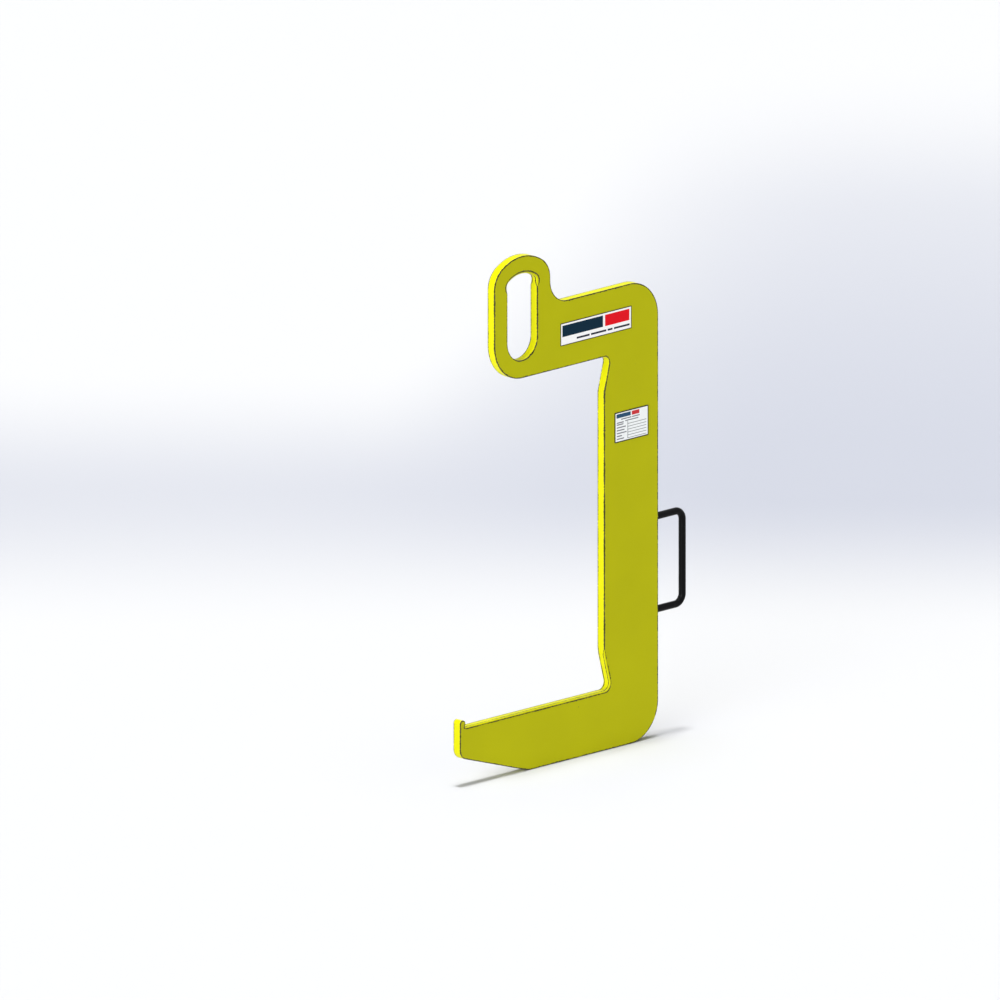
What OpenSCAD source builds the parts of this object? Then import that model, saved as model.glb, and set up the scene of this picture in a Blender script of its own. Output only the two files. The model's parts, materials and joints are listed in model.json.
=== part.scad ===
// Coil hook: a C-shaped lifting hook cut from one steel plate. It hangs by its eye from a crane hook, its
// prong goes into the bore of a coil, and a bent bar on its back edge is the hand hold that guides it.
// X runs from the tip of the prong to the handle, Y through the plate, and Z up. The origin is the point on
// the plate's middle plane where the crane hook bears in the top of the eye. The front face is at -Y.

/* [Plate] */
// Thickness of the plate that the hook is cut from
plate_t = 20; // [18:1:40]
// Radius of the two outer corners of the spine
outer_r = 80; // [30:1:100]

/* [Eye] */
// Width of the slot in the eye
eye_w = 86; // [70:1:110]
// Height of the slot from its lowest point to the bearing point
eye_h = 182; // [165:1:240]
// Radius of the wide arc that the crane hook bears on
eye_crown_r = 67.5; // [58:0.5:90]
// Radius of the two corners beside the wide arc
eye_corner_r = 13; // [8:0.5:24]
// Width of the plate left all round the slot
eye_wall = 37.5; // [32:0.5:50]
// Radius of the rounded edges at the top of the slot
eye_edge_r = 5; // [2:0.5:6]
// Radius in which those rounded edges run out on the sides of the slot
eye_runout_r = 17; // [10:1:30]

/* [Upper arm] */
// Height of the upper arm
upper_h = 140; // [110:1:145]
// Distance from the middle of the eye to the inner edge of the spine
eye_to_spine = 236; // [210:1:400]
// Radius of the inner curve between the eye and the top edge of the upper arm
neck_r = 50; // [20:1:50]

/* [Throat] */
// Clear height between the two arms
throat_h = 705; // [560:5:1200]
// Height of the slanted relief at each inner corner
relief_h = 76; // [50:1:100]
// Depth to which each relief cuts into the spine
relief_d = 20; // [10:1:30]
// Radius of each inner corner
relief_r = 15; // [8:1:24]

/* [Spine] */
// Width of the spine
spine_w = 155; // [120:1:240]

/* [Prong] */
// Length of the prong from the inner edge of the spine to the stop at its tip
prong_l = 400; // [300:5:700]
// Height of the prong
prong_h = 125; // [105:1:200]
// Radius of the rounded edges that the coil lies on
prong_edge_r = 3.5; // [1:0.5:6]
// Length of the stop at the tip
stop_l = 15; // [10:1:30]
// Height of the stop above the prong
stop_h = 15; // [15:1:40]
// Length of the slope under the tip
slope_l = 195; // [120:1:260]
// Height that the slope gains up to the tip
slope_h = 62; // [30:1:75]
// Radius of the lower corner of the tip
tip_r = 22; // [8:1:24]

/* [Handle] */
// Diameter of the bar
bar_d = 15; // [10:0.5:16]
// Distance between the middles of the two legs
handle_span = 196; // [120:1:240]
// Distance from the back edge of the spine to the middle of the grip
handle_reach = 79; // [60:1:120]
// Radius of the bends at the middle of the bar
bend_r = 20; // [15:1:40]
// Height of the middle of the handle above the underside of the prong
handle_up = 364.5; // [300:0.5:420]
// Size of the fillet weld round each leg
weld_leg = 2.5; // [1:0.25:2.5]

/* [Name label] */
// Width of the name label
name_w = 205; // [120:1:215]
// Height of the name label
name_h = 48; // [30:1:70]
// Thickness of the name label
name_t = 0.4; // [0.2:0.1:1]
// Distance from the back edge of the spine to the name label
name_inset = 77; // [50:1:90]
// Radius of the corners of the name label
name_r = 1.5; // [0.5:0.5:6]

/* [Rating plate] */
// Width of the rating plate
rating_w = 97; // [60:1:110]
// Height of the rating plate
rating_h = 64; // [40:1:100]
// Thickness of the rating plate
rating_t = 0.8; // [0.5:0.1:2]
// Distance from the underside of the upper arm down to the rating plate
rating_drop = 124; // [105:1:180]
// Radius of the corners of the rating plate
rating_r = 2.5; // [0.5:0.5:6]

/* [Hidden] */
$fn = 96;
// How far a cut runs past the surface that it opens
over = 1;
// How far a straight cut stays short of the arc that it runs on from, so that their surfaces cross
hair = 0.001;
// How far the cut that rounds an arc turns on past the arc's end, in degrees
lap = 5;
// How far behind the root of a weld its rounded face is centred, as a share of its leg
weld_bulge = 0.5;

// Slot of the eye
slot_r = eye_w / 2;
slot_low_z = slot_r - eye_h;
corner_x = slot_r - eye_corner_r;
crown_half = asin(corner_x / (eye_crown_r - eye_corner_r));
shoulder_z = (eye_crown_r - eye_corner_r) * cos(crown_half) - eye_crown_r;
runout_angle = acos(eye_runout_r / (eye_runout_r + eye_edge_r + over));

// Upper arm and spine
boss_r = slot_r + eye_wall;
upper_under_z = -eye_h - eye_wall;
upper_top_z = upper_under_z + upper_h;
neck_used_r = min(neck_r, shoulder_z - upper_top_z);
spine_x = eye_to_spine;
spine_back_x = spine_x + spine_w;

// Inner corners of the throat, with the middle of their arcs at inner_x
throat_z = upper_under_z - throat_h / 2;
relief_angle = atan(relief_d / relief_h);
relief_l = norm([relief_d, relief_h]);
inner_run = relief_r / tan(45 - relief_angle / 2);
inner_x = spine_x + relief_d - inner_run;

// Prong
prong_top_z = upper_under_z - throat_h;
prong_under_z = prong_top_z - prong_h;
stop_x = spine_x - prong_l;
tip_x = stop_x - stop_l;
stop_r = stop_l / 2;
stop_round_z = prong_top_z + stop_h - stop_r;
slope_angle = atan(slope_h / slope_l);
slope_length = norm([slope_l, slope_h]);
edge_runout = (prong_edge_r + over) / sin(relief_angle);

// Handle on the back edge of the spine
handle_z = prong_under_z + handle_up;
leg_l = handle_reach - bend_r;
weld_used = min(weld_leg, (plate_t - bar_d) / 2);

// A step of a given length in the direction of an angle
function along(angle, length) = length * [cos(angle), sin(angle)];
// An arc of radius r that touches two edges, which leave a corner at the angles a and b: the distance from
// the corner to the touching points, and the centre of the arc seen from the corner
function corner_run(a, b, r) = r / tan((b - a) / 2);
function corner_centre(a, b, r) = along((a + b) / 2, r / sin((b - a) / 2));

// Sliver between a corner and the arc that rounds it, which fills an inner corner and is cut from an outer
// one. It is drawn round the centre of the arc, and reaches a little past the corner.
module corner(a, b, r) {
    run = corner_run(a, b, r);
    to_corner = -corner_centre(a, b, r);
    difference() {
        polygon([
            to_corner - along((a + b) / 2, over), to_corner + along(a, run), [0, 0], to_corner + along(b, run)
        ]);
        circle(r);
    }
}

// Gives each flat child the same thickness, half to each side of the plate's middle plane
module thick(t) {
    for (i = [0 : $children - 1]) linear_extrude(t, center = true) children(i);
}

// Slice of a disc, centred on the upward direction
module slice(r, half_angle) {
    reach = 2 * r / cos(half_angle);
    intersection() {
        circle(r);
        polygon([[0, 0], along(90 - half_angle, reach), along(90 + half_angle, reach)]);
    }
}

// Slot of the eye, widened evenly all round by grow: a round lower end, straight sides, and an arch of three
// arcs that run into each other
module eye_shape(grow, t) {
    half_w = slot_r + grow;
    thick(t) {
        translate([0, slot_low_z]) circle(half_w);
        translate([-half_w, slot_low_z]) square([2 * half_w, shoulder_z - slot_low_z]);
        translate([-corner_x, shoulder_z]) circle(eye_corner_r + grow);
        translate([corner_x, shoulder_z]) circle(eye_corner_r + grow);
        translate([0, -eye_crown_r]) slice(eye_crown_r + grow, crown_half);
    }
}

// Upper arm, spine and prong with square ends and corners. The spine is still too wide on its inner side.
module c_shape() {
    rough_x = spine_x - 2 * relief_r;
    polygon([
        [0, upper_top_z], [spine_back_x, upper_top_z], [spine_back_x, prong_under_z], [tip_x, prong_under_z],
        [tip_x, stop_round_z], [stop_x, stop_round_z], [stop_x, prong_top_z], [rough_x, prong_top_z],
        [rough_x, upper_under_z], [0, upper_under_z]
    ]);
}

// Puts children at the centre of the arc in an inner corner of the throat: the upper one at end 0 and the
// lower one, upside down, at end 1
module at_inner_corner(end) {
    translate([inner_x, throat_z]) mirror([0, end, 0]) translate([0, throat_h / 2 - relief_r]) children();
}

// Cuts the spine to its inner edge, with a slanted relief and a round corner at each end
module inner_edge() {
    width = 2 * relief_r + over;
    translate([spine_x - width, throat_z - throat_h / 2 + relief_r]) square([width, throat_h - 2 * relief_r]);
    for (end = [0, 1]) at_inner_corner(end) {
        circle(relief_r);
        translate([spine_x - inner_x - width, -relief_r]) square([inner_x - spine_x + width, 2 * relief_r]);
        rotate(-relief_angle) translate([0, -relief_l]) square([relief_r - hair, relief_l]);
    }
}

// Cuts the slope under the prong and rounds the lower corner of the tip
module slope() {
    depth = slope_h + over;
    translate([tip_x, prong_under_z + slope_h] + corner_centre(-slope_angle, 90, tip_r)) {
        corner(-slope_angle, 90, tip_r);
        rotate(-slope_angle) translate([-2 * tip_r, hair - tip_r - depth])
            square([slope_length + 2 * tip_r, depth]);
    }
}

// Plate as it is cut out, with all its edges square
module plate_blank() {
    difference() {
        union() {
            eye_shape(eye_wall, plate_t);
            thick(plate_t) {
                c_shape();
                translate([stop_x - stop_r, stop_round_z]) circle(stop_r);
                translate([boss_r, upper_top_z] + neck_used_r * [1, 1]) corner(0, 90, neck_used_r);
            }
        }
        eye_shape(0, plate_t + 2 * over);
        thick(plate_t + 2 * over) {
            translate([spine_back_x, upper_top_z] - outer_r * [1, 1]) corner(180, 270, outer_r);
            translate([spine_back_x, prong_under_z] + outer_r * [-1, 1]) corner(90, 180, outer_r);
            inner_edge();
            slope();
        }
    }
}

// Section of the cut that rounds an edge: x runs into the plate from the edge and y is the height above the
// plate's middle plane
module edge_section(r) {
    difference() {
        translate([-over, plate_t / 2 - r]) square(r + over);
        translate([r, plate_t / 2 - r]) circle(r);
    }
}

// Rounds the edge of an arc. The plate lies outside the arc.
module round_arc(arc_r, start, angle, r) {
    rotate_extrude(start = start, angle = angle) translate([arc_r, 0]) edge_section(r);
}

// Rounds a straight edge that runs down from the origin. The plate lies on the side of +X.
module round_straight(length, r) {
    rotate([90, 0, 0]) linear_extrude(length) edge_section(r);
}

// Rounded edge at the top of the slot, which runs out on the slot's sides. The tighter of two arcs that run
// into each other turns on past their common point, where it leaves the plate untouched.
module eye_edge() {
    translate([0, -eye_crown_r]) round_arc(eye_crown_r, 90 - crown_half, 2 * crown_half, eye_edge_r);
    for (side = [0, 1]) mirror([side, 0, 0]) {
        translate([corner_x, shoulder_z]) round_arc(eye_corner_r, -lap, 90 - crown_half + 2 * lap, eye_edge_r);
        translate([slot_r - eye_runout_r, shoulder_z])
            round_arc(eye_runout_r, -runout_angle, runout_angle, eye_edge_r);
    }
}

// Rounded edge along the top of the prong, round the inner corner and up the relief, past whose end it runs
// out on the spine
module prong_edge() {
    at_inner_corner(1) {
        translate([stop_x - inner_x, relief_r]) rotate(90) round_straight(inner_x - stop_x, prong_edge_r);
        round_arc(relief_r, -relief_angle - lap, 90 + relief_angle + 2 * lap, prong_edge_r);
        rotate(-relief_angle) translate([relief_r - hair, 0])
            round_straight(relief_l - inner_run + edge_runout, prong_edge_r);
    }
}

module hook_plate() {
    color("yellow") rotate([90, 0, 0]) difference() {
        plate_blank();
        for (face = [0, 1]) mirror([0, 0, face]) {
            eye_edge();
            prong_edge();
        }
    }
}

// Round bar bent twice, with both ends on the back edge of the spine
module handle() {
    color("black") translate([spine_back_x, 0, handle_z]) rotate([90, 0, 0]) {
        for (side = [0, 1]) mirror([0, side, 0]) {
            translate([0, handle_span / 2, 0]) rotate([0, 90, 0]) cylinder(d = bar_d, h = leg_l);
            translate([leg_l, handle_span / 2 - bend_r, 0])
                rotate_extrude(angle = 90) translate([bend_r, 0]) circle(d = bar_d);
        }
        translate([handle_reach, 0, 0])
            rotate([90, 0, 0]) cylinder(d = bar_d, h = handle_span - 2 * bend_r, center = true);
    }
}

// Fillet weld round the root of one leg, with a slightly bulging face
module handle_weld(side) {
    face_r = weld_used * norm([1 + weld_bulge, weld_bulge]);
    color("black") translate([spine_back_x, 0, handle_z + side * handle_span / 2])
        rotate([0, 90, 0]) rotate_extrude() translate([bar_d / 2, 0]) intersection() {
            square(weld_used);
            translate(-weld_used * weld_bulge * [1, 1]) circle(face_r);
        }
}

module handle_weld_upper() { handle_weld(1); }

module handle_weld_lower() { handle_weld(-1); }

// Flat sheet with rounded corners, bonded to the front face of the plate with its middle at x and z
module front_sheet(x, z, w, h, t, r) {
    translate([x, -plate_t / 2, z]) rotate([90, 0, 0]) linear_extrude(t) difference() {
        square([w, h], center = true);
        for (side = [0, 1], end = [0, 1]) mirror([side, 0]) mirror([0, end])
            translate([w, h] / 2 - [r, r]) corner(180, 270, r);
    }
}

// Printed film in the middle of the upper arm's height
module name_label() {
    x = spine_back_x - name_inset - name_w / 2;
    color("white") front_sheet(x, upper_under_z + upper_h / 2, name_w, name_h, name_t, name_r);
}

// Printed metal plate in the middle of the spine's width
module rating_plate() {
    z = upper_under_z - rating_drop - rating_h / 2;
    color("gainsboro") front_sheet(spine_x + spine_w / 2, z, rating_w, rating_h, rating_t, rating_r);
}

hook_plate();
handle();
handle_weld_upper();
handle_weld_lower();
name_label();
rating_plate();
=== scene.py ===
import json
import math

import bmesh
import bpy
from mathutils import Matrix, Vector


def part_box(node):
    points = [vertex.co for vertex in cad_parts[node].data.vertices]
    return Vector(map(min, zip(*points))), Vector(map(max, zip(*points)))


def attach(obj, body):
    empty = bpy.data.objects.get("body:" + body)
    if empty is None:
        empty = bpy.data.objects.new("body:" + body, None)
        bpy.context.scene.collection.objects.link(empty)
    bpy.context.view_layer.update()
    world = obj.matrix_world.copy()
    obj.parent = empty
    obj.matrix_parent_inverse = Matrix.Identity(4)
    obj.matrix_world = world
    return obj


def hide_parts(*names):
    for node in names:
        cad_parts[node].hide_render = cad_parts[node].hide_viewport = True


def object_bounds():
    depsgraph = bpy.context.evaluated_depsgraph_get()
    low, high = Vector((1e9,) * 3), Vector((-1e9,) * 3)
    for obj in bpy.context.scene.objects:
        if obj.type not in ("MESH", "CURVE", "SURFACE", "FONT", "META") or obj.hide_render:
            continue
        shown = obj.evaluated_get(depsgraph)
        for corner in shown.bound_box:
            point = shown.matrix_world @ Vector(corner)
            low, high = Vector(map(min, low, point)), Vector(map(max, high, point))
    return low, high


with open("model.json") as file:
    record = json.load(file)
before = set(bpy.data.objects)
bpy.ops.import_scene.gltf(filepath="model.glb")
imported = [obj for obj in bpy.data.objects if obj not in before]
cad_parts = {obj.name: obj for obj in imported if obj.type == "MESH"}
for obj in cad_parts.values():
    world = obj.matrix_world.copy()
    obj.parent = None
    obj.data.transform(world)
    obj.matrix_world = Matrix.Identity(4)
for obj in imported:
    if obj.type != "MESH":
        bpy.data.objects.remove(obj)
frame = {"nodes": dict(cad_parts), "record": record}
cad_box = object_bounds()


# Camera. The hook is seen without perspective, from the side of the prong and a little from above, so that
# its front face and the cut edges that face the prong's tip show. The picture's middle lies in the throat.
picture_px = 1000
px_per_m = 490.9
azimuth, elevation = math.radians(-45), math.radians(15)
picture_middle = Vector((-0.0548, 0, -0.4680))
camera_distance = 6

back = Vector((
    math.sin(azimuth) * math.cos(elevation), -math.cos(azimuth) * math.cos(elevation), math.sin(elevation)
))
right = Vector((math.cos(azimuth), math.sin(azimuth), 0))
camera_data = bpy.data.cameras.new("camera")
camera_data.type = "ORTHO"
camera_data.ortho_scale = picture_px / px_per_m
camera = bpy.data.objects.new("camera", camera_data)
camera.matrix_world = (
    Matrix.Translation(picture_middle + back * camera_distance)
    @ Matrix((right, back.cross(right), back)).transposed().to_4x4()
)
bpy.context.scene.collection.objects.link(camera)
bpy.context.scene.camera = camera


# Hook plate. One piece of structural steel plate, flame-cut to a C. Its sharp edges are dressed, and those
# that bear on the crane hook and in the coil are ground round. Its yellow paint is rubbed where the plate
# bears and is worn down to dark steel along the edges. Its colour also holds painted light and shade: it is
# brighter on the cut edges, as if lit, and darker on the faces, as if in shade.
plate_low, plate_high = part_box("hook_plate")
half_thick = (plate_high.y - plate_low.y) / 2
eye_slot_r = 0.043
eye_wall = 0.0375
eye_low_z = -0.139
eye_corner_x, eye_corner_z, eye_corner_r = 0.030, -0.022, 0.013
eye_crown_r = 0.0675
eye_edge_r = 0.005
eye_runout_r = 0.017
eye_runout_steps = (0.15, 0.3, 0.42, 0.52, 0.6, 0.68)
upper_arm_top, upper_arm_bottom = -0.0795, -0.2195
neck_r = 0.050
outer_corner_r = 0.080
spine_x = 0.236
relief_depth, relief_height, relief_r = 0.020, 0.076, 0.015
prong_top = {mount["name"]: mount for mount in frame["record"]["mounts"]}["prong_saddle"]["pos_m"][2]
prong_edge_r = 0.0035
prong_runout = 0.0133
stop_width, stop_rise = 0.015, 0.015
slope_length, slope_rise, tip_r = 0.195, 0.062, 0.022
bend_corner_r = 0.008
stop_corner_r = 0.0012
dressed_r = 0.0008
wear_reach = 0.003
ground_border_wear = 0.15
degrees_per_step = 3
rounding_steps = 4

# Painted light and shade: the faces get a darker yellow as if in shade, the cut edges a brighter one as if
# lit
shaded_front_yellow = (0.47, 0.467, 0.0)
lit_edge_yellow = (0.605, 0.597, 0.002)
rubbed_yellow = (0.45, 0.44, 0.14)
dark_steel = (0.035, 0.033, 0.008)
worn_steel = (0.085, 0.078, 0.04)
eye_rub_z = -0.005
paint_depth = 0.00012


def direction(degrees):
    return Vector((math.cos(math.radians(degrees)), math.sin(math.radians(degrees))))


def arc(x, z, radius, start, end, edge_r=dressed_r):
    """Points of the outline along an arc, each with its outward direction and the radius of its edges."""
    outward = 1 if end > start else -1
    steps = max(3, round(abs(end - start) / degrees_per_step))
    turns = [direction(start + (end - start) * step / steps) for step in range(steps + 1)]
    return [(Vector((x, z)) + turn * radius, turn * outward, edge_r) for turn in turns]


def corner(x, z, start, end, radius=bend_corner_r, edge_r=dressed_r):
    """The same for a rounded corner between edges that face outward at the angles start and end."""
    before, after = direction(start), direction(end)
    inward = (before + after) * radius / (1 + before.dot(after))
    if end > start:
        return arc(x - inward.x, z - inward.y, radius, start, end, edge_r)
    return arc(x + inward.x, z + inward.y, radius, start + 180, end + 180, edge_r)


def eye_arch(grow, start, end, edge_r=dressed_r):
    """The three arcs over the eye, from one side to the other, moved out by grow."""
    lean = math.degrees(math.asin(eye_corner_x / (eye_crown_r - eye_corner_r)))
    side = 1 if end > start else -1
    first, last = 90 - side * lean, 90 + side * lean
    return (
        arc(side * eye_corner_x, eye_corner_z, eye_corner_r + grow, start, first, edge_r)
        + arc(0, -eye_crown_r, eye_crown_r + grow, first, last, edge_r)[1:]
        + arc(-side * eye_corner_x, eye_corner_z, eye_corner_r + grow, last, end, edge_r)[1:]
    )


def eye_outline():
    """The slot, with the rounding of its arch running out on its sides."""
    def side(x, facing):
        drops = [eye_runout_r * share for share in eye_runout_steps]
        fading = [eye_edge_r - eye_runout_r + math.sqrt(eye_runout_r ** 2 - drop ** 2) for drop in drops]
        return [
            (Vector((x, eye_corner_z - drop)), direction(facing), max(dressed_r, edge_r))
            for drop, edge_r in zip(drops, fading)
        ]

    return (
        arc(0, eye_low_z, eye_slot_r, 360, 180) + side(-eye_slot_r, 0)[::-1]
        + eye_arch(0, 180, 0, eye_edge_r) + side(eye_slot_r, 180)
    )


def plate_outline():
    """The outer edge, counterclockwise from the lower back corner, seen from the front."""
    tip_x, back_x, foot_z = plate_low.x, plate_high.x, plate_low.z
    boss_r = eye_slot_r + eye_wall
    inner_x = spine_x + relief_depth
    stop_x = tip_x + stop_width
    lean = math.degrees(math.atan2(relief_depth, relief_height))
    slope = math.degrees(math.atan2(slope_rise, slope_length))
    lower_relief_z = prong_top + relief_height
    return (
        corner(back_x, foot_z, -90, 0, outer_corner_r)
        + corner(back_x, upper_arm_top, 0, 90, outer_corner_r)
        + corner(boss_r, upper_arm_top, 90, 0, neck_r)
        + eye_arch(eye_wall, 0, 180)
        + arc(0, eye_low_z, boss_r, 180, 270)
        + corner(inner_x, upper_arm_bottom, 270, 180 - lean, relief_r)
        + corner(spine_x, upper_arm_bottom - relief_height, 180 - lean, 180)
        + [(Vector((spine_x, lower_relief_z + prong_runout)), direction(180), dressed_r)]
        + corner(spine_x, lower_relief_z, 180, 180 + lean, edge_r=prong_edge_r)
        + corner(inner_x, prong_top, 180 + lean, 90, relief_r, prong_edge_r)
        + corner(stop_x, prong_top, 90, 0, stop_corner_r, prong_edge_r)
        + arc(stop_x - stop_width / 2, prong_top + stop_rise - stop_width / 2, stop_width / 2, 0, 180)
        + corner(tip_x, foot_z + slope_rise, 180, 270 - slope, tip_r)
        + corner(tip_x + slope_length, foot_z, 270 - slope, 270)
    )


def edge_section(edge_r):
    """Steps over the plate's edge, front to back: how far in, y, turn of the surface, and wear. A dressed
    edge is worn all over, and one that is ground round is worn at the two borders of its rounding."""
    ground = min(1, (edge_r - dressed_r) / dressed_r)
    front = [(edge_r + wear_reach, -half_thick, 0, 0)]
    for step in range(rounding_steps + 1):
        turn = math.radians(90 * step / rounding_steps)
        inset = edge_r * (1 - math.sin(turn))
        wear = 1 + ground * (ground_border_wear if step in (0, rounding_steps) else -1)
        front.append((inset, edge_r * (1 - math.cos(turn)) - half_thick, turn, wear))
    front.append((0, edge_r + wear_reach - half_thick, math.pi / 2, 0))
    return front + [(inset, -y, math.pi - turn, wear) for inset, y, turn, wear in reversed(front)]


def build_plate():
    """Sweeps the edge round both outlines and fills the two faces, with each point's wear and normal."""
    bm = bmesh.new()
    wear_layer = bm.verts.layers.float.new("wear")
    normals = []
    borders = {0: [], -1: []}
    for outline in (plate_outline(), eye_outline()):
        rows = []
        for point, out, edge_r in outline:
            row = []
            for inset, y, turn, wear in edge_section(edge_r):
                spot = point - out * inset
                row.append(bm.verts.new((spot.x, y, spot.y)))
                row[-1][wear_layer] = wear
                normals.append((out.x * math.sin(turn), -math.cos(turn), out.y * math.sin(turn)))
            rows.append(row)
        for row, after in zip(rows, rows[1:] + rows[:1]):
            for i in range(len(row) - 1):
                bm.faces.new((row[i], after[i], after[i + 1], row[i + 1])).smooth = True
            for end in borders:
                borders[end].append(bm.edges.get((row[end], after[end])))
    for end, edges in borders.items():
        facing = (0, -1, 0) if end == 0 else (0, 1, 0)
        filled = bmesh.ops.triangle_fill(bm, use_beauty=True, edges=edges, normal=facing)
        for face in filled["geom"]:
            if isinstance(face, bmesh.types.BMFace):
                face.smooth = True
    bmesh.ops.recalc_face_normals(bm, faces=bm.faces)
    mesh = bpy.data.meshes.new("hook_plate_steel")
    bm.to_mesh(mesh)
    bm.free()
    mesh.normals_split_custom_set_from_vertices(normals)
    piece = bpy.data.objects.new("hook_plate_steel", mesh)
    bpy.context.scene.collection.objects.link(piece)
    return piece


class Wire:
    """One output of a shader node. Arithmetic on it adds the Math nodes that work it out."""

    def __init__(self, finish, socket):
        self.finish = finish
        self.socket = socket

    def maths(self, operation, first, second):
        return self.finish.node("ShaderNodeMath", {"operation": operation}, {0: first, 1: second})

    def __add__(self, other):
        return self.maths("ADD", self, other)

    def __sub__(self, other):
        return self.maths("SUBTRACT", self, other)

    def __mul__(self, other):
        return self.maths("MULTIPLY", self, other)

    def __radd__(self, other):
        return self.maths("ADD", other, self)

    def __rsub__(self, other):
        return self.maths("SUBTRACT", other, self)

    def __rmul__(self, other):
        return self.maths("MULTIPLY", other, self)

    def __abs__(self):
        return self.maths("ABSOLUTE", self, 0)


class Finish:
    """A material in the making. Its shader is the principled one, and place is the point on the object."""

    def __init__(self, name):
        self.material = bpy.data.materials.new(name)
        self.material.use_nodes = True
        self.tree = self.material.node_tree
        self.place = self.node("ShaderNodeTexCoord", {}, {}, "Object")

    def node(self, kind, settings, sockets, output=0):
        """Adds a node, makes its settings, fills its sockets with values or wires, and gives one output."""
        node = self.tree.nodes.new(kind)
        for name, value in settings.items():
            setattr(node, name, value)
        self.fill(node, sockets)
        return Wire(self, node.outputs[output])

    def fill(self, node, sockets):
        for name, value in sockets.items():
            if isinstance(value, Wire):
                self.tree.links.new(value.socket, node.inputs[name])
            else:
                node.inputs[name].default_value = value

    def paint(self, sockets):
        """Fills the sockets of the principled shader and gives the finished material."""
        self.fill(self.tree.nodes["Principled BSDF"], sockets)
        return self.material

    def axes(self, vector):
        return [self.node("ShaderNodeSeparateXYZ", {}, {0: vector}, axis) for axis in "XYZ"]

    def ramp(self, value, low, high):
        """0 below low and 1 above high, with an even S-curve between them. Low may be the greater one."""
        sockets = {"Value": value, "From Min": low, "From Max": high}
        return self.node("ShaderNodeMapRange", {"interpolation_type": "SMOOTHSTEP"}, sockets)

    def grain(self, size, stretch=(1, 1, 1), detail=2):
        """Noise around 0.5 with marks of about size metres, drawn out along the axes by stretch."""
        squeezed = self.node("ShaderNodeVectorMath", {"operation": "DIVIDE"}, {0: self.place, 1: stretch})
        sockets = {"Vector": squeezed, "Scale": 1 / size, "Detail": detail}
        return self.node("ShaderNodeTexNoise", {}, sockets, "Fac")

    def mix(self, share, first, second):
        """A colour that goes from the first to the second as share goes from 0 to 1."""
        colours = [colour if isinstance(colour, Wire) else (*colour, 1) for colour in (first, second)]
        return self.node("ShaderNodeMix", {"data_type": "RGBA"}, {0: share, 6: colours[0], 7: colours[1]}, 2)

    def tone(self, colour, strength):
        return self.node("ShaderNodeVectorMath", {"operation": "SCALE"}, {0: colour, "Scale": strength})

    def relief(self, height, depth, normal=None):
        """The normal of a surface whose height from 0 to 1 stands for a depth in metres."""
        sockets = {"Height": height, "Distance": depth}
        if normal:
            sockets["Normal"] = normal
        return self.node("ShaderNodeBump", {}, sockets)


def yellow_paint():
    finish = Finish("yellow_paint")
    grain, ramp, mix = finish.grain, finish.ramp, finish.mix
    _, _, height = finish.axes(finish.place)
    _, facing, upward = finish.axes(finish.node("ShaderNodeTexCoord", {}, {}, "Normal"))
    cut_edge = ramp(abs(facing), 0.8, 0.4)

    # The film is painted brighter on the cut edges than on the faces, a painted highlight for the light that
    # falls on the edges, with slow changes of tone and fine speckles
    clouds = grain(0.12, detail=4)
    speckles = grain(0.0025, detail=4)
    film = mix(cut_edge, shaded_front_yellow, lit_edge_yellow)
    film = finish.tone(film, 0.9 + clouds * 0.13 + speckles * 0.07)

    # It is rubbed in streaks along the top of the prong, and on the arch of the eye
    on_prong = ramp(abs(height - prong_top), 0.004, 0.002) * ramp(upward, 0.2, 0.6)
    in_eye = ramp(abs(height - eye_rub_z), 0.012, 0.008) * ramp(upward, -0.2, -0.6)
    streaks = ramp(grain(0.0012, (30, 1, 1), 3), 0.5, 0.68)
    rubbed = (on_prong + in_eye) * streaks * 0.35
    film = mix(rubbed, film, rubbed_yellow)

    # The edges are worn down to dark steel, with a ragged border and in some places further than in others
    edge = finish.node("ShaderNodeAttribute", {"attribute_name": "wear"}, {}, "Fac")
    chips = grain(0.004, detail=6) - 0.5
    patches = grain(0.04) - 0.5
    worn = ramp(edge + chips * 1.7 + patches * 0.9, 0.5, 0.68)
    steel = mix(ramp(grain(0.009, detail=5), 0.35, 0.65), dark_steel, worn_steel)

    # The flame leaves drag lines through the thickness, and the spray a fine skin
    drag_lines = grain(0.0016, (1, 40, 1)) * cut_edge
    skin = grain(0.0028) * 0.5 + grain(0.03) * 0.8
    smudges = grain(0.05, detail=4)
    return finish.paint({
        "Base Color": mix(worn, film, steel),
        "Roughness": 0.38 + smudges * 0.12 + worn * 0.15 + rubbed * 0.2,
        "Metallic": worn * 0.4,
        "Specular IOR Level": 0.08,
        "Normal": finish.relief(drag_lines + skin - worn * 0.6, paint_depth),
    })


hook_plate = build_plate()
hook_plate.data.materials.append(yellow_paint())
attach(hook_plate, "root")
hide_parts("hook_plate")


# Hand hold. One length of round bar, bent twice and welded by both ends to the back edge of the plate. It
# has a black powder coat with a fine grain, scuffed here and there by gloves and thin on any sharp edge.
coat_black = (0.0015, 0.0015, 0.002)
scuffed_black = (0.012, 0.012, 0.013)
thin_black = (0.05, 0.047, 0.04)
coat_edge_r = 0.0008
coat_depth = 0.00017


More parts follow.
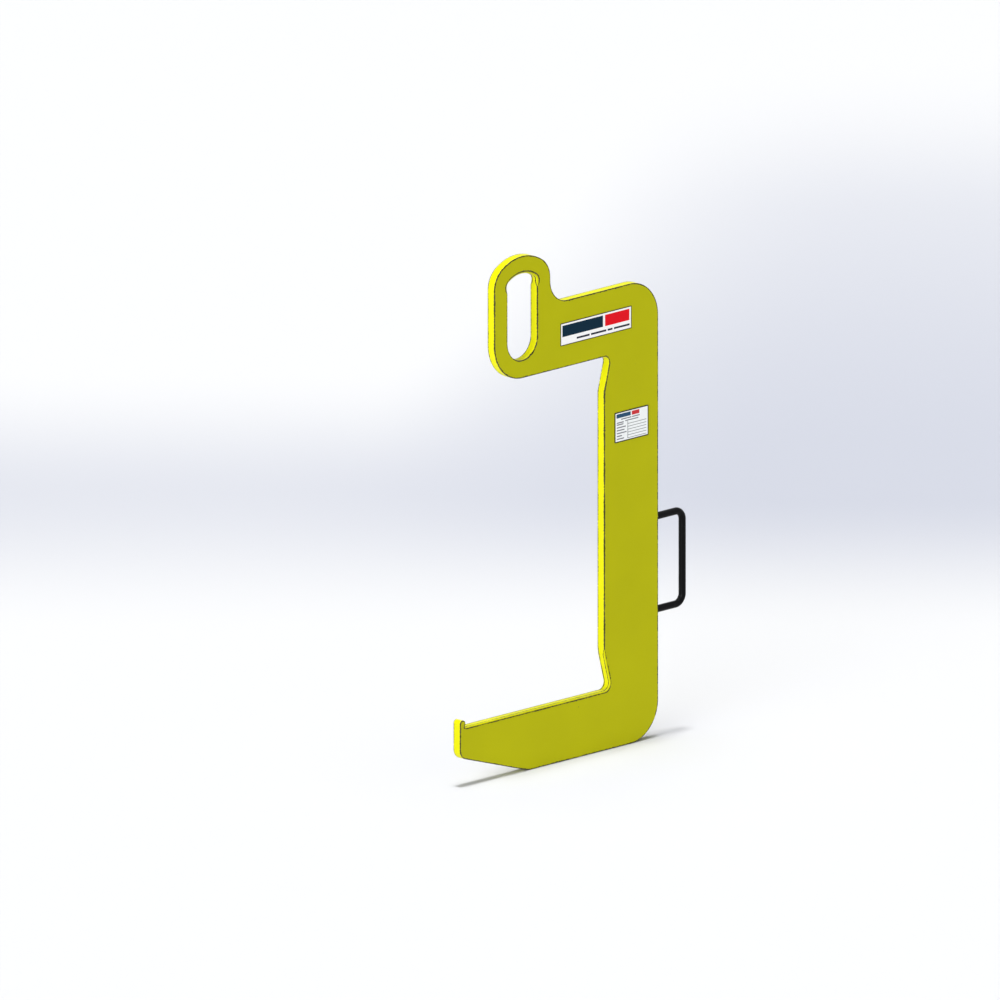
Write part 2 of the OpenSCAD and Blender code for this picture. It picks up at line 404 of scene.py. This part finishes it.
def black_coat():
    finish = Finish("black_coat")
    grain, ramp, mix = finish.grain, finish.ramp, finish.mix

    # The softened normal turns away from the plain one near a sharp edge
    softened = finish.node("ShaderNodeBevel", {"samples": 8}, {"Radius": coat_edge_r})
    plain = finish.node("ShaderNodeNewGeometry", {}, {}, "Normal")
    dot_product = {"operation": "DOT_PRODUCT"}
    alike = finish.node("ShaderNodeVectorMath", dot_product, {0: softened, 1: plain}, "Value")
    thin = ramp(1 - alike + grain(0.003) * 0.05, 0.06, 0.14)

    scuffs = ramp(grain(0.008, (1, 1, 4), 5), 0.58, 0.72)
    colour = mix(scuffs * 0.5, coat_black, scuffed_black)
    peel = grain(0.0012) + grain(0.006) * 0.5
    return finish.paint({
        "Base Color": mix(thin * 0.5, colour, thin_black),
        "Roughness": 0.34 + scuffs * 0.12 + grain(0.02) * 0.08,
        "Specular IOR Level": 0.08,
        "Normal": finish.relief(peel, coat_depth, softened),
    })


coat = black_coat()
frame["nodes"]["handle"].data.materials[0] = coat


# Welds of the hand hold. Each is a fillet bead run once round the root of a leg, with the overlapping scales
# that a hand-held torch leaves, and coated black with the bar.
ripples = 28
steps_per_ripple = 8
steps_across = 10
ripple_height = 0.00022
ripple_bow = 0.3
bead_bulge = 0.00035
bead_lean = 0.7
bead_sink = 0.0004
toe_fade = 3
slow_wave, slow_waves = 0.00008, 3
quick_wave, quick_waves = 0.00006, 7


def bead_section(turn, root_x, leg, outer_r, bar_r):
    """Outline of the bead at a turn from 0 to 1: the face from the plate to the bar, then the sunk root."""
    uneven = (
        slow_wave * math.sin(2 * math.pi * slow_waves * turn + 1)
        + quick_wave * math.sin(2 * math.pi * quick_waves * turn)
    )
    points = []
    for step in range(steps_across + 1):
        across = step / steps_across
        arch = math.sin(math.pi * across)
        scale = abs(math.sin(math.pi * (ripples * turn + ripple_bow * (2 * across - 1) ** 2)))
        out = bead_bulge * arch + (ripple_height * (scale - 1) + uneven) * min(1, toe_fade * arch)
        points.append((root_x + leg * across + out * bead_lean, outer_r - leg * across + out * bead_lean))
    points.append((root_x + leg, bar_r - bead_sink))
    points.append((root_x - bead_sink, bar_r - bead_sink))
    points.append((root_x - bead_sink, outer_r))
    return points


def weld_bead(node):
    low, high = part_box(node)
    leg = high.x - low.x
    outer_r = (high.z - low.z) / 2
    middle_y, middle_z = (low.y + high.y) / 2, (low.z + high.z) / 2
    steps_round = ripples * steps_per_ripple

    bm = bmesh.new()
    rings = []
    for step in range(steps_round):
        angle = 2 * math.pi * step / steps_round
        rings.append([
            bm.verts.new((x, middle_y + r * math.sin(angle), middle_z + r * math.cos(angle)))
            for x, r in bead_section(step / steps_round, low.x, leg, outer_r, outer_r - leg)
        ])
    for step, ring in enumerate(rings):
        after = rings[(step + 1) % steps_round]
        for i in range(len(ring)):
            j = (i + 1) % len(ring)
            face = bm.faces.new((ring[i], ring[j], after[j], after[i]))
            face.smooth = i < steps_across
    bmesh.ops.recalc_face_normals(bm, faces=bm.faces)
    mesh = bpy.data.meshes.new(node + "_bead")
    bm.to_mesh(mesh)
    bm.free()
    mesh.materials.append(coat)
    bead = bpy.data.objects.new(node + "_bead", mesh)
    bpy.context.scene.collection.objects.link(bead)
    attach(bead, "root")
    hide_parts(node)


weld_bead("handle_weld_upper")
weld_bead("handle_weld_lower")


# Name label. A white film, printed with two plain blocks of colour over ruled dashes inside a thin dark
# frame, laminated and stuck on the upper arm. Sizes of the print are in metres from its lower left corner.
class Print(Finish):
    """The printed face of a label, with across and up measured from the label's lower left corner."""

    def __init__(self, name, node):
        super().__init__(name)
        low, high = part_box(node)
        along_x, _, height = self.axes(self.place)
        self.across = along_x - low.x
        self.up = height - low.z
        self.width = high.x - low.x
        self.height = high.z - low.z

    def within(self, value, low, high, blur=0.0002):
        return self.ramp(value, low - blur, low + blur) * self.ramp(value, high + blur, high - blur)

    def block(self, left, right, bottom, top):
        """1 inside a rectangle and 0 outside it."""
        return self.within(self.across, left, right) * self.within(self.up, bottom, top)

    def border(self, width):
        return 1 - self.block(width, self.width - width, width, self.height - width)


def name_film():
    finish = Print("name_film", "name_label")
    grain, mix, block = finish.grain, finish.mix, finish.block
    blocks_bottom, blocks_top = 0.0185, 0.0425
    dashes_bottom, dashes_top = 0.0075, 0.0115
    frame_width = 0.0019

    navy = block(0.0055, 0.1225, blocks_bottom, blocks_top)
    red = block(0.1285, 0.1985, blocks_bottom, blocks_top)
    dashes = 0
    for left, right in ((0.047, 0.084), (0.088, 0.132), (0.136, 0.150), (0.154, 0.199)):
        dashes = dashes + block(left, right, dashes_bottom, dashes_top)
    colour = mix(grain(0.012, detail=4), (0.94, 0.94, 0.95), (0.98, 0.98, 0.98))
    colour = mix(navy, colour, (0.002, 0.022, 0.045))
    colour = mix(red, colour, (0.78, 0.005, 0.014))
    colour = mix(dashes, colour, (0.02, 0.022, 0.04))
    colour = mix(finish.border(frame_width), colour, (0.05, 0.045, 0.02))
    return finish.paint({
        "Base Color": finish.tone(colour, 0.94 + grain(0.0006) * 0.12),
        "Roughness": 0.28 + grain(0.02, detail=4) * 0.12,
        "Specular IOR Level": 0.05,
        "Normal": finish.relief(grain(0.01) + grain(0.0015) * 0.15, 0.00006),
    })


frame["nodes"]["name_label"].data.materials[0] = name_film()


# Rating plate. A thin aluminium sheet with a satin brushed face, printed with a plain header and an empty
# ruled table, and bonded to the spine. Sizes of the print are in metres from its lower left corner.
def rating_sheet():
    finish = Print("rating_sheet", "rating_plate")
    grain, mix, block = finish.grain, finish.mix, finish.block
    header_bottom, header_top = 0.0512, 0.0597
    row_height = 0.006
    table_left, table_right, table_bottom = 0.0368, finish.width - 0.006, 0.0045
    rule_width, column_width = 0.0013, 0.0016
    dash_left, dash_rise, dash_height = 0.006, 0.0015, 0.0023
    dash_lengths = (0.021, 0.015, 0.028, 0.022, 0.026, 0.019)
    table_top = table_bottom + row_height * len(dash_lengths)
    frame_width = 0.0023
    ink = 0.85

    # The header, with two lines of dashes under it
    navy = block(0.005, 0.046, header_bottom, header_top)
    red = block(0.049, 0.071, header_bottom, header_top)
    dashes = block(0.018, 0.048, 0.0465, 0.0487) + block(0.050, 0.072, 0.0465, 0.0487)
    dashes = dashes + block(0.006, 0.026, 0.0400, 0.0424) + block(0.030, 0.068, 0.0415, 0.0435)

    # The table, with a dash at the left of each row
    rules = block(table_left, table_left + column_width, table_bottom, table_top)
    for row, length in enumerate(dash_lengths):
        bottom = table_bottom + row * row_height
        dash_bottom = bottom + dash_rise
        dashes = dashes + block(dash_left, dash_left + length, dash_bottom, dash_bottom + dash_height)
        rules = rules + block(table_left, table_right, bottom, bottom + rule_width)

    brushed = grain(0.0004, (60, 1, 1), 3)
    colour = mix(brushed, (0.86, 0.89, 0.90), (0.94, 0.96, 0.97))
    colour = mix(navy, colour, (0.006, 0.06, 0.14))
    colour = mix(red, colour, (0.6, 0.02, 0.03))
    colour = mix(dashes * ink, colour, (0.04, 0.04, 0.07))
    colour = mix(rules * ink, colour, (0.1, 0.12, 0.13))
    colour = mix(finish.border(frame_width), colour, (0.015, 0.015, 0.01))
    return finish.paint({
        "Base Color": colour,
        "Metallic": 0.2 - finish.ramp(navy + red + dashes, 0, 1) * 0.2,
        "Roughness": 0.36 + brushed * 0.14,
        "Specular IOR Level": 0.25,
        "Normal": finish.relief(brushed, 0.00002),
    })


frame["nodes"]["rating_plate"].data.materials[0] = rating_sheet()


# Floor. A plain pale studio floor at the foot of the hook. It is seen white near the hook, with a painted
# shade round the foot that is a little darker and bluer, then as a cool haze behind it that thins out
# further off. Rays from below pass through, so that the underside can be seen.
floor_half = 9
floor_gap = 0.0003
floor_grey = (0.6, 0.6, 0.6)
near_white = (0.595, 0.6, 0.61)
# Painted shade at the foot: a little darker and bluer than the rest of the floor
foot_painted_shade = (0.58, 0.588, 0.62)
haze_blue = (0.416, 0.432, 0.487)


def background_rays(finish):
    """1 for the rays that see the background itself, and 0 for those that light the hook."""
    kinds = ("Is Camera Ray", "Is Glossy Ray", "Is Transmission Ray")
    return sum(finish.node("ShaderNodeLightPath", {}, {}, kind) for kind in kinds)


def studio_floor():
    finish = Finish("studio_floor")
    ramp, mix = finish.ramp, finish.mix

    # Deep runs away from the foot behind the hook, and across towards the side of the hand hold, where the
    # haze is stronger and reaches further
    along_x, along_y, _ = finish.axes(finish.place)
    deep = (along_x + along_y) * math.sqrt(0.5)
    across = (along_x - along_y) * math.sqrt(0.5)
    reach = 3.1 + ramp(across, -0.4, 0.7) * 4.2
    haze = ramp(deep, 1.0, 2.15) * ramp(deep, reach, 2.1) * ramp(deep, 5.6, 4.3)
    haze = haze * (0.67 + ramp(across, -0.7, 0.5) * 0.35)

    distance = finish.node("ShaderNodeVectorMath", {"operation": "LENGTH"}, {0: finish.place}, "Value")
    # Painted shade: near the middle of the foot the floor is seen darker and bluer, fading out by about 0.6
    # m, which also offsets the yellow light that the plate throws onto it
    near = mix(ramp(distance, 0.6, 0.1), near_white, foot_painted_shade)
    finish.paint({
        "Base Color": mix(background_rays(finish), floor_grey, mix(haze, near, haze_blue)),
        "Roughness": 0.9,
        "Specular IOR Level": 0.1,
    })
    surface = Wire(finish, finish.tree.nodes["Principled BSDF"].outputs["BSDF"])
    from_below = finish.node("ShaderNodeNewGeometry", {}, {}, "Backfacing")
    clear = finish.node("ShaderNodeBsdfTransparent", {}, {})
    finish.fill(finish.tree.nodes["Material Output"], {
        "Surface": finish.node("ShaderNodeMixShader", {}, {0: from_below, 1: surface, 2: clear}),
    })
    return finish.material


floor_mesh = bpy.data.meshes.new("floor")
floor_mesh.from_pydata(
    [(-floor_half, -floor_half, 0), (floor_half, -floor_half, 0),
     (floor_half, floor_half, 0), (-floor_half, floor_half, 0)],
    [], [(0, 1, 2, 3)]
)
floor_mesh.materials.append(studio_floor())
floor = bpy.data.objects.new("floor", floor_mesh)
floor.location = (0.1, 0, cad_box[0][2] - floor_gap)
bpy.context.scene.collection.objects.link(floor)


# Studio light. An even sky, a narrow lamp straight above that draws the band of shadow at the foot, a wider
# one with it that softens that shadow, and a wide one on the prong's side that brightens the cut edges.
def lamp(name, towards, strength, width):
    data = bpy.data.lights.new(name, "SUN")
    data.energy = strength
    data.angle = math.radians(width)
    sun = bpy.data.objects.new(name, data)
    sun.rotation_euler = Vector(towards).to_track_quat("-Z", "Y").to_euler()
    bpy.context.scene.collection.objects.link(sun)


lamp("above", towards=(0.02, 0, -1), strength=2.5, width=6.5)
lamp("ceiling", towards=(0.02, 0, -1), strength=1.1, width=32)
lamp("prong_side", towards=(0.93, 0.3, -0.22), strength=3.7, width=45)


class Sky(Finish):
    """The same nodes in the world, for the light all round and for the background that it shows."""

    def __init__(self, light, seen):
        world = bpy.data.worlds.new("studio")
        world.use_nodes = True
        bpy.context.scene.world = world
        self.tree = world.node_tree
        self.fill(self.tree.nodes["Background"], {"Color": self.mix(background_rays(self), light, seen)})


Sky(light=(0.24, 0.24, 0.24), seen=(0.965, 0.97, 0.98))

bpy.context.scene.view_settings.view_transform = "Standard"
